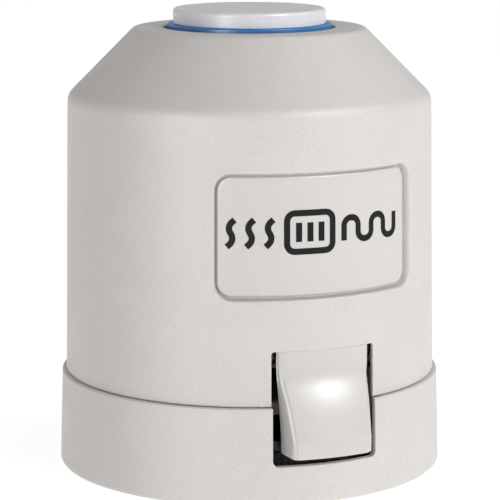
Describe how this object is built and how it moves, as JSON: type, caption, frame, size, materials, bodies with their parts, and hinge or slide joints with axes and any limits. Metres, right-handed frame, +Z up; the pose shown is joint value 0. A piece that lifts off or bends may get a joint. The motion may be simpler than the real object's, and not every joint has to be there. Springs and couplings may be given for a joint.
{
  "type": "thermoelectric actuator head",
  "caption": "Push-fit wax actuator head for a radiator or manifold valve: drafted round hood on a base ring, rising indicator cap, press latch and cable inlet.",
  "frame": {"origin": "middle of the bottom rim, on the stroke axis", "axes": "+Z up along the stroke axis to the indicator cap, release latch faces -Y, cable inlet faces +Y"},
  "size_m": [0.0468, 0.0504, 0.0553],
  "materials": {
    "casing": "fine spark-eroded matt, pale warm grey",
    "label": "smooth satin, printed",
    "cap_white": "smooth satin",
    "sleeve_blue": "smooth",
    "inner_plastic": "glass-filled",
    "nylon": "natural",
    "steel": "bright",
    "spring_steel": "drawn wire",
    "brass": "turned",
    "contact_bronze": "tinned",
    "ceramic": "fired, silvered faces",
    "seal_rubber": "moulded"
  },
  "bodies": {
    "housing": {"housing_hood": "casing", "base_ring": "casing", "label_plate": "label", "slide_retainer": "nylon", "housing_seal": "seal_rubber", "cap_seal": "seal_rubber", "housing_screw_1": "steel", "housing_screw_2": "steel", "housing_screw_3": "steel", "housing_screw_4": "steel", "bearing_frame": "inner_plastic", "piston_seat": "steel", "wax_piston": "steel", "closing_spring": "spring_steel", "cable_grommet": "seal_rubber", "cable_clamp": "nylon", "clamp_screw_left": "steel", "clamp_screw_right": "steel", "latch_pin": "steel", "lock_spring_left": "spring_steel", "lock_spring_right": "spring_steel"},
    "lift_carriage": {"lifting_cage": "inner_plastic", "thrust_foot": "inner_plastic", "wax_element": "brass", "ptc_heater": "ceramic", "contact_strip_live": "contact_bronze", "contact_strip_neutral": "contact_bronze", "insulating_washer": "inner_plastic", "cage_cap": "inner_plastic", "indicator_sleeve": "sleeve_blue", "indicator_cap": "cap_white"},
    "latch": {"release_latch": "casing"},
    "lock": {"locking_slide": "steel"}
  },
  "joints": [
    {"name": "lift_stroke", "type": "slide", "parent": "housing", "child": "lift_carriage", "axis": [0, 0, 1], "range_m": [0, 0.004], "stiffness_N_per_m": 1000, "deforming": ["closing_spring"]},
    {"name": "latch_press", "type": "hinge", "parent": "housing", "child": "latch", "pos_m": [0, -0.0184, 0.0168], "axis": [1, 0, 0], "range_deg": [0, 9.3]},
    {"name": "lock_travel", "type": "slide", "parent": "housing", "child": "lock", "axis": [0, 1, 0], "range_m": [0, 0.0017], "stiffness_N_per_m": 400, "deforming": ["lock_spring_left", "lock_spring_right"]}
  ],
  "couplings": [
    {"joint": "latch_press", "follows": "lock_travel", "rad_per_m": 95.4}
  ]
}
